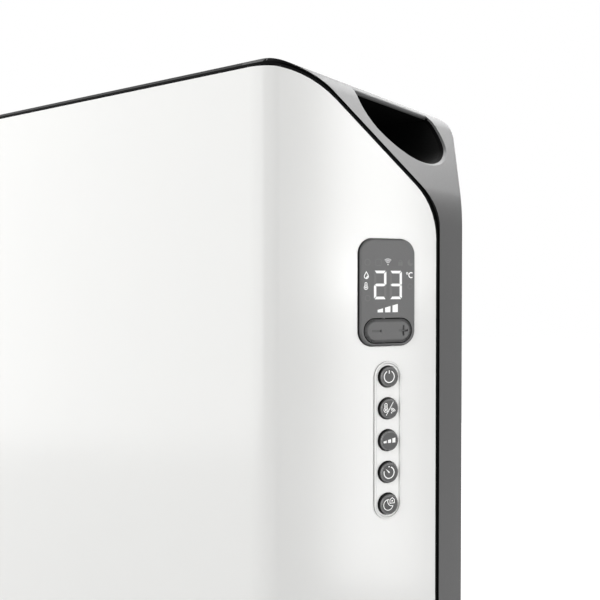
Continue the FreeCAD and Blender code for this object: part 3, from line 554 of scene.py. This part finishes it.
panel_grey = moulded_plastic("display_polycarbonate_satin", "#575757", "#545454", 0.42,
                             satin_grain_size, satin_grain_depth)
wall_shade_black = moulded_plastic("display_walls_painted_shade_black", "#1E1E1E", "#1A1A1A", 0.5,
                              satin_grain_size, satin_grain_depth)
panel = round_edges(merged_copy("display_panel"), panel_edge_round, steps=3)
# The panel's side walls take the black: painted shade. Those round the rocker's window keep the panel's
# grey.
paint_wall_shade(stand_for(panel, "display_panel", panel_grey), wall_shade_black)
for face in panel.data.polygons:
    away, radius = off_pill(face.center, "rocker_key")
    if away < radius + window_margin:
        face.material_index = 0

display_middle = face_spot("display_panel")
two_lit, two_dark = segments(("top", "upper_right", "middle", "lower_left", "bottom"))
three_lit, three_dark = segments(("top", "upper_right", "middle", "lower_right", "bottom"))
figures = shifted(two_lit, two_left, digit_foot) + shifted(three_lit, three_left, digit_foot)
figures += rising_bars(left=-5.65, foot=-9.25, width=2.85, pitch=4.0, first=1.15, step=1.0, slant=0.7)
figures += shifted(droplet(height=3.2, stroke=0.36), -11.6, 8.0)
figures += shifted(thermometer(height=3.2, width=1.5, stroke=0.3), -11.8, 3.0)
degree_sign = ring(circle(10.3, 9.0, 0.42, 16), 0.28)
letter_c = line(arc(12.4, 8.15, 1.2, 50, 310), 0.48)
figures += [degree_sign, letter_c]
lit = lit_mark("display_segment_lit", "#303030", figure_light)
mark("display_figures", figures, display_middle, "heater_body", lit)

fan_grey = moulded_plastic("display_mark_half_lit", "#CFCFCF", "#C9C9C9", 0.45,
                           satin_grain_size, satin_grain_depth)
fan = shifted(signal_fan(3.1), -0.15, 14.2)
mark("display_signal", fan, display_middle, "heater_body", fan_grey)

unlit = moulded_plastic("display_segment_unlit", "#636363", "#606060", 0.42,
                        satin_grain_size, satin_grain_depth)
frame_outline = arc(0.9, 0.9, 0.6, 0, 90, 6) + arc(-0.9, 0.9, 0.6, 90, 180, 6)
frame_outline += arc(-0.9, -0.9, 0.6, 180, 270, 6) + arc(0.9, -0.9, 0.6, 270, 360, 6)
lock_body = [[(-1.2, -1.5), (1.2, -1.5), (1.2, 0.3), (-1.2, 0.3)]]
lock_bow = line(arc(0, 0.3, 0.8, 0, 180), 0.35)
crescent = [arc(0, 0, 1.5, 80, 370) + arc(0.75, 0.75, 1.15, 320, 130)]
ghosts = shifted(two_dark, two_left, digit_foot) + shifted(three_dark, three_left, digit_foot)
ghosts.append(moved(ring(circle(0, 0, 1.4), ghost_line), -11.0, top_row))
ghosts.append(moved(ring(frame_outline, ghost_line), -5.2, top_row))
ghosts += shifted([lock_body, lock_bow], 6.6, top_row)
ghosts.append(moved(crescent, 12.0, top_row))
ghosts.append(moved(ring(circle(0, 0, 1.3), ghost_line), -10.9, -2.6))
ghosts.append(moved(ring(circle(0, 0, 1.2), ghost_line), 11.9, 2.8))
mark("display_unlit_marks", ghosts, display_middle, "heater_body", unlit)


# Rocker key
# The minus and plus key is a grey pill with the two signs sunk into its face; its grey darkens to black down
# its slopes as painted shade. It rocks on a pin behind the panel. The sizes of the signs are in millimetres.
slope_foot = 1.4 * mm
slope_lift = 0.6 * mm
slope_find = 0.05 * mm
key_edge_round = 0.45 * mm
key_grey = "#545454"
key_shade_black = "#0E0E0E"
key_rough_low = 0.38
key_rough_high = 0.46
slope_shade_reach = 1.05 * mm
shade_free_share = 0.1
paint_grain_size = 0.9 * mm
sign_depth = 0.45
sign_width = 1.05
sign_length = 5.0
sign_edge_round = 0.08 * mm
minus_place = -6.5
plus_place = 7.8
key_crown = reach("rocker_key", outward)[1]


def key_with_slope_shade():
    """Grey on the face, darkening to black down the slopes with depth below the crown: painted shade."""
    material, tree, place = new_material("key_grey_with_painted_slope_shade")
    axis = {0: place, 1: outward}
    depth = add_node(tree, "ShaderNodeVectorMath", {"operation": "DOT_PRODUCT"}, axis).outputs["Value"]
    cover = {"Value": depth, "From Min": key_crown - slope_shade_reach,
             "From Max": key_crown - shade_free_share * slope_shade_reach}
    unshaded = add_node(tree, "ShaderNodeMapRange", inputs=cover).outputs["Result"]
    tones = {"Fac": unshaded, "Color1": linear(key_shade_black), "Color2": linear(key_grey)}
    colour = add_node(tree, "ShaderNodeMixRGB", inputs=tones)
    haze = add_node(tree, "ShaderNodeTexNoise", inputs={"Vector": place, "Scale": 1 / paint_grain_size})
    sheen = {"Value": haze.outputs["Fac"], "To Min": key_rough_low, "To Max": key_rough_high}
    gloss = add_node(tree, "ShaderNodeMapRange", inputs=sheen)
    finish = {"Base Color": colour.outputs["Color"], "Roughness": gloss.outputs["Result"]}
    shader = add_node(tree, "ShaderNodeBsdfPrincipled", inputs=finish)
    add_node(tree, "ShaderNodeOutputMaterial", inputs={"Surface": shader.outputs["BSDF"]})
    return material


def lift(piece, chosen, distance):
    """Move the chosen points of a piece out from the end face."""
    for part in (piece.data.polygons, piece.data.edges):
        part.foreach_set("select", [False] * len(part))
    piece.data.vertices.foreach_set("select", [chosen(vertex.co) for vertex in piece.data.vertices])
    pick(piece)
    bpy.context.tool_settings.mesh_select_mode = (True, False, False)
    bpy.ops.object.mode_set(mode="EDIT")
    bpy.ops.transform.translate(value=outward * distance)
    bpy.ops.object.mode_set(mode="OBJECT")
    return piece


rocker = merged_copy("rocker_key")
lift(rocker, lambda spot: abs(key_crown - spot.dot(outward) - slope_foot) < slope_find, slope_lift)
round_edges(rocker, key_edge_round, steps=4)

half_sign = sign_length / 2
half_line = sign_width / 2
minus = [[(-half_sign, -half_line), (half_sign, -half_line),
          (half_sign, half_line), (-half_sign, half_line)]]
quarter = [(half_line, half_sign), (half_line, half_line), (half_sign, half_line)]
plus = []
for c, s in ((1, 0), (0, -1), (-1, 0), (0, 1)):
    plus += [(c * x - s * y, s * x + c * y) for x, y in quarter]
signs = [moved(minus, minus_place, 0), moved([plus], plus_place, 0)]
cut_away(rocker, flat_piece("sign_tool", signs, sign_depth, on_face(face_spot("rocker_key"))))
round_edges(rocker, sign_edge_round, angle=cut_crease)
# The key's walls take the black as well: painted shade.
paint_wall_shade(stand_for(rocker, "rocker_key", key_with_slope_shade()), wall_shade_black)


# Button strip
# The strip round the buttons is a white moulding with a raised rim and a dished floor, clipped into the
# shell. The outer side of its rim is painted grey, as painted shade for the shade of the cut-out.
rim_width = 1.1 * mm
rim_find = 0.2 * mm
rim_painted_shade_reach = 0.3 * mm
rim_shade_lean = 0.7
dish_depth = 0.6 * mm
dish_find = 0.02 * mm
dish_round = 0.5 * mm
dish_steps = 6
strip_edge_round = 0.15 * mm
strip_grain_size = 1.5 * mm
strip_white = moulded_plastic("strip_abs_white", "#F8F8F6", "#F5F5F3", 0.2,
                              strip_grain_size, satin_grain_depth)
strip = merged_copy("button_bezel")


def strip_rim(spot):
    """How far a point is inside the strip's outline."""
    away, radius = off_pill(spot, "button_bezel")
    return radius - away


def round_the_dish(piece):
    """Round the inner corner where the strip's floor meets its rim."""
    for part in (piece.data.polygons, piece.data.vertices):
        part.foreach_set("select", [False] * len(part))
    level = reach("button_bezel", outward)[1] - dish_depth
    for edge in piece.data.edges:
        ends = [piece.data.vertices[v].co for v in edge.vertices]
        at_floor = all(abs(spot.dot(outward) - level) < dish_find for spot in ends)
        edge.select = at_floor and all(strip_rim(spot) < rim_width + rim_find for spot in ends)
    pick(piece)
    bpy.context.tool_settings.mesh_select_mode = (False, True, False)
    bpy.ops.object.mode_set(mode="EDIT")
    bpy.ops.mesh.bevel(offset=dish_round, segments=dish_steps, clamp_overlap=True)
    bpy.ops.object.mode_set(mode="OBJECT")


round_the_dish(strip)
stand_for(round_edges(strip, strip_edge_round, steps=3), "button_bezel", strip_white)
rim_painted_shade = moulded_plastic("strip_rim_painted_shade", "#8C8C8A", "#888886", 0.5,
                            strip_grain_size, satin_grain_depth, shine=0.1)
# The outer side of the rim takes a darker grey: painted shade.
strip.data.materials.append(rim_painted_shade)
for face in strip.data.polygons:
    if face.normal.dot(outward) < rim_shade_lean and strip_rim(face.center) < rim_painted_shade_reach:
        face.material_index = 1


# Push-buttons
# Five round keys in dark grey ABS, chamfered at the rim, each with a white symbol that is faintly lit from
# behind. The sizes of the symbols are in millimetres, from the middle of the key.
symbol_left = -0.5
symbol_rise = 0.2
symbol_line = 0.48
fine_line = 0.35
dial_radius = 2.7
dial_steps = 48
symbol_glow = 0.3
cap_edge = 0.75 * mm
cap_lift = 0.8 * mm
cap_edge_round = 0.2 * mm
highlight_lean_low = 0.5
highlight_lean_high = 0.93
button_grey = moulded_plastic("button_abs_satin", "#313131", "#2E2E2E", 0.38,
                              satin_grain_size, satin_grain_depth)
edge_highlight_grey = moulded_plastic("button_edge_painted_highlight", "#686868", "#646464", 0.25,
                            satin_grain_size, satin_grain_depth, shine=0.9)
button_wall_shade = moulded_plastic("button_wall_painted_shade", "#1E1E1E", "#1B1B1B", 0.5,
                            satin_grain_size, satin_grain_depth, shine=0.2)
symbol_light = lit_mark("button_symbol_light_guide", "#E4E4E2", symbol_glow)


def power_symbol():
    """A ring broken at the top by a short bar."""
    dial = line(arc(0, 0, dial_radius, 116, 424, dial_steps), symbol_line)
    bar = line([(0, 2.95), (0, 1.4)], symbol_line)
    return [dial, bar]


def mode_symbol():
    """A thermometer and a signal fan, parted by a slash."""
    gauge = shifted(thermometer(height=4.1, width=1.7, stroke=fine_line), -1.75, 0.5)
    slash = line([(-1.6, -3.1), (2.25, 3.1)], fine_line)
    return gauge + [slash] + shifted(signal_fan(2.5, stroke=0.13), 1.75, -1.15, degrees=-30)


def level_symbol():
    """Three rising bars."""
    return rising_bars(left=-2.95, foot=-1.05, width=1.6, pitch=2.35, first=0.85, step=0.55, slant=0.3)


def timer_symbol():
    """A ring open at the upper left, with a mark over it and a tapered hand."""
    dial = line(arc(0, 0, dial_radius, 68, -198, dial_steps), symbol_line)
    top_mark = line([(-0.35, 2.75), (0.35, 2.75)], symbol_line)
    hand = [(-1.85, 1.95), (0.5, 0.2), (-0.05, -0.35)]
    return [dial, top_mark, [hand]]


def night_symbol():
    """A crescent drawn in line, with a small house beside it."""
    back = line(arc(-0.35, -0.45, 2.5, 80, 352, 40), fine_line)
    hollow = line(arc(1.6, 1.25, 2.3, 159, 275, 24), fine_line)
    house = [(-1.2, -1.2), (1.2, -1.2), (1.2, 0.4), (0.0, 1.35), (-1.2, 0.4)]
    door = [(-0.35, -0.5), (0.35, -0.5), (0.35, 0.2), (-0.35, 0.2)]
    return shifted([back, hollow] + shifted([ring(house, fine_line), [door]], 1.7, 1.4), 0, 0.3)


symbols = {
    "power": power_symbol(),
    "mode": mode_symbol(),
    "level": level_symbol(),
    "timer": timer_symbol(),
    "night": night_symbol(),
}
for name, shapes in symbols.items():
    button = name + "_button"
    crown = reach(button, outward)[1]
    cap = lift(merged_copy(button), lambda spot: spot.dot(outward) > crown - cap_edge, cap_lift)
    # The keys' side walls take a darker grey than their faces: painted shade.
    paint_wall_shade(stand_for(round_edges(cap, cap_edge_round, steps=3), button, button_grey), button_wall_shade)
    # The chamfer takes a lighter, glossier grey: its lower roughness is the polished edge, its lighter
    # colour a painted highlight.
    cap.data.materials.append(edge_highlight_grey)
    for face in cap.data.polygons:
        if highlight_lean_low < face.normal.dot(outward) < highlight_lean_high:
            face.material_index = 2
    drawn = shifted(shapes, symbol_left, symbol_rise)
    cap_middle = face_spot(button) + outward * cap_lift
    mark(name + "_symbol", drawn, cap_middle, button, symbol_light)


# Fixings and inner pieces
# Sheet pieces are zinc-plated steel, the elements are extruded aluminium, and the boards, relays and
# switches are what such heaters hold. They stay as the solids are, each with its own finish.
spangle_detail = 4.0
metal_gloss_spread = 0.08


def plated_metal(name, tone, deep_tone, rough, patch):
    """Plated or bare metal: close-toned patches and an uneven sheen."""
    material, tree, place = new_material(name)
    pattern = {"Vector": place, "Scale": 1 / patch, "Detail": spangle_detail}
    spangle = add_node(tree, "ShaderNodeTexNoise", inputs=pattern)
    spread = {"Value": spangle.outputs["Fac"], "From Min": noise_low, "From Max": noise_high}
    speck = add_node(tree, "ShaderNodeMapRange", inputs=spread).outputs["Result"]
    tones = {"Fac": speck, "Color1": linear(deep_tone), "Color2": linear(tone)}
    colour = add_node(tree, "ShaderNodeMixRGB", inputs=tones)
    sheen = {"Value": speck, "To Min": rough - metal_gloss_spread, "To Max": rough + metal_gloss_spread}
    gloss = add_node(tree, "ShaderNodeMapRange", inputs=sheen)
    finish = {"Base Color": colour.outputs["Color"], "Roughness": gloss.outputs["Result"], "Metallic": 1.0}
    shader = add_node(tree, "ShaderNodeBsdfPrincipled", inputs=finish)
    add_node(tree, "ShaderNodeOutputMaterial", inputs={"Surface": shader.outputs["BSDF"]})
    return material


finishes = {
    "black_abs": black_abs,
    "grey_abs": grey_abs,
    "zinc_steel": plated_metal("zinc_plated_sheet_steel", "#C4C6C8", "#AEB1B4", 0.38, 9 * mm),
    "screw_steel": plated_metal("zinc_plated_screw_steel", "#B5B6B8", "#A5A6A8", 0.32, 2 * mm),
    "aluminium": plated_metal("extruded_aluminium", "#D0D1D2", "#C2C3C5", 0.35, 6 * mm),
    "ceramic": moulded_plastic("steatite_unglazed", "#E9E4DA", "#E0DACE", 0.7, 0.5 * mm, 0.05 * mm),
    "circuit_board": moulded_plastic("solder_mask_on_laminate", "#1F6B3F", "#1A5F37", 0.35,
                                     2 * mm, 0.02 * mm),
    "component_plastic": moulded_plastic("component_plastic_black", "#22262B", "#1C2024", 0.45,
                                         0.8 * mm, 0.03 * mm),
    "nylon": moulded_plastic("natural_nylon", "#E6E2D6", "#DEDACD", 0.5, 0.9 * mm, 0.03 * mm),
}
for part in frame["record"]["subparts"]:
    if part["material_slot"] in finishes and not nodes[part["node"]].hide_render:
        kept = nodes[part["node"]].data.materials
        kept.clear()
        kept.append(finishes[part["material_slot"]])


# Floor and studio light
# A plain pale floor, a broad softbox at the left, a narrow one close by at the right with a slanted white
# card below it, one over the rear and a weak one behind. Their places and sizes are in metres.
floor_size = 12
floor_grey = "#A8A8A8"
floor_glow = 0.85
floor_patch = 0.4
floor_rough_low = 0.85
floor_rough_high = 0.95
ambient = 0.22
light_aim = Vector((0.31, -0.04, 0.42))
right_azimuth = 89.3


def seen_as_background(tree):
    """1 for the rays that show the background: straight to the camera, or by way of gloss or glass."""
    path = add_node(tree, "ShaderNodeLightPath").outputs
    mirrored = {0: path["Is Glossy Ray"], 1: path["Is Transmission Ray"]}
    indirect = add_node(tree, "ShaderNodeMath", {"operation": "MAXIMUM"}, mirrored)
    straight = {0: path["Is Camera Ray"], 1: indirect.outputs["Value"]}
    return add_node(tree, "ShaderNodeMath", {"operation": "MAXIMUM"}, straight).outputs["Value"]


def studio_floor():
    """Pale matt floor that keeps the object's shadow and fades to white for the camera."""
    material, tree, place = new_material("pale_studio_floor")
    dust = add_node(tree, "ShaderNodeTexNoise", inputs={"Vector": place, "Scale": 1 / floor_patch})
    sheen = {"Value": dust.outputs["Fac"], "To Min": floor_rough_low, "To Max": floor_rough_high}
    rough = add_node(tree, "ShaderNodeMapRange", inputs=sheen)
    range_of_glow = {"Value": seen_as_background(tree), "To Min": 0.0, "To Max": floor_glow}
    glow = add_node(tree, "ShaderNodeMapRange", inputs=range_of_glow)
    finish = {"Base Color": linear(floor_grey), "Roughness": rough.outputs["Result"],
              "Emission Color": linear("#FFFFFF"), "Emission Strength": glow.outputs["Result"]}
    shader = add_node(tree, "ShaderNodeBsdfPrincipled", inputs=finish)
    add_node(tree, "ShaderNodeOutputMaterial", inputs={"Surface": shader.outputs["BSDF"]})
    return material


bpy.ops.object.select_all(action="DESELECT")
bpy.ops.mesh.primitive_plane_add(size=floor_size)
floor = bpy.context.object
floor.name = "studio_floor"
floor.data.materials.append(studio_floor())

world = bpy.data.worlds.new("studio")
bpy.context.scene.world = world
world.use_nodes = True
tree = world.node_tree
tree.nodes.clear()
brightness = {"Value": seen_as_background(tree), "To Min": ambient, "To Max": 1.0}
strength = add_node(tree, "ShaderNodeMapRange", inputs=brightness).outputs["Result"]
sky = add_node(tree, "ShaderNodeBackground", inputs={"Color": linear("#FFFFFF"), "Strength": strength})
add_node(tree, "ShaderNodeOutputWorld", inputs={"Surface": sky.outputs["Background"]})


def softbox(name, spot, aim, width, height, watts):
    """A rectangular soft light that faces a point."""
    lamp = bpy.data.lights.new(name, "AREA")
    lamp.shape = "RECTANGLE"
    lamp.size = width
    lamp.size_y = height
    lamp.energy = watts
    holder = bpy.data.objects.new(name, lamp)
    bpy.context.collection.objects.link(holder)
    holder.location = spot
    holder.rotation_euler = (aim - spot).to_track_quat("-Z", "Y").to_euler()
    holder.visible_camera = False


def round_the_object(azimuth, distance, height):
    """A point round the controls: azimuth 0 is in front, and it grows towards the end with the controls."""
    angle = math.radians(azimuth)
    return light_aim + Vector((math.sin(angle), -math.cos(angle), 0)) * distance + Vector((0, 0, height))


def level_aim(spot):
    """The point that an upright light faces, at the light's own height."""
    return Vector((light_aim.x, light_aim.y, spot.z))


left_spot = round_the_object(-30, 1.6, 0.75)
right_spot = round_the_object(right_azimuth, 1.0, 0.38)
card_spot = round_the_object(right_azimuth, 0.8, -0.22)
rear_spot = light_aim + Vector((0.05, 1.05, 0.95))
fill_spot = round_the_object(225, 1.9, 0.25)
softbox("left_softbox", left_spot, level_aim(left_spot), width=3.2, height=2.3, watts=41)
softbox("right_softbox", right_spot, level_aim(right_spot), width=0.16, height=0.8, watts=3.5)
softbox("right_card", card_spot, light_aim, width=0.13, height=0.57, watts=1.4)
softbox("rear_softbox", rear_spot, light_aim, width=1.0, height=0.7, watts=11.6)
softbox("rear_fill", fill_spot, light_aim, width=2.0, height=1.6, watts=9)


# Camera
# It stands in front of the right end, a little below the top of the heater.
camera_tilt = 1.039
camera_turn = 35.972
camera = bpy.data.objects.new("camera", bpy.data.cameras.new("camera"))
bpy.context.collection.objects.link(camera)
camera.data.lens = 47.78
camera.data.sensor_width = 36
camera.location = (0.5026, -0.36476, 0.42547)
camera.rotation_euler = (math.radians(90 - camera_tilt), 0, math.radians(camera_turn))
bpy.context.scene.camera = camera
bpy.context.scene.view_settings.view_transform = "Standard"
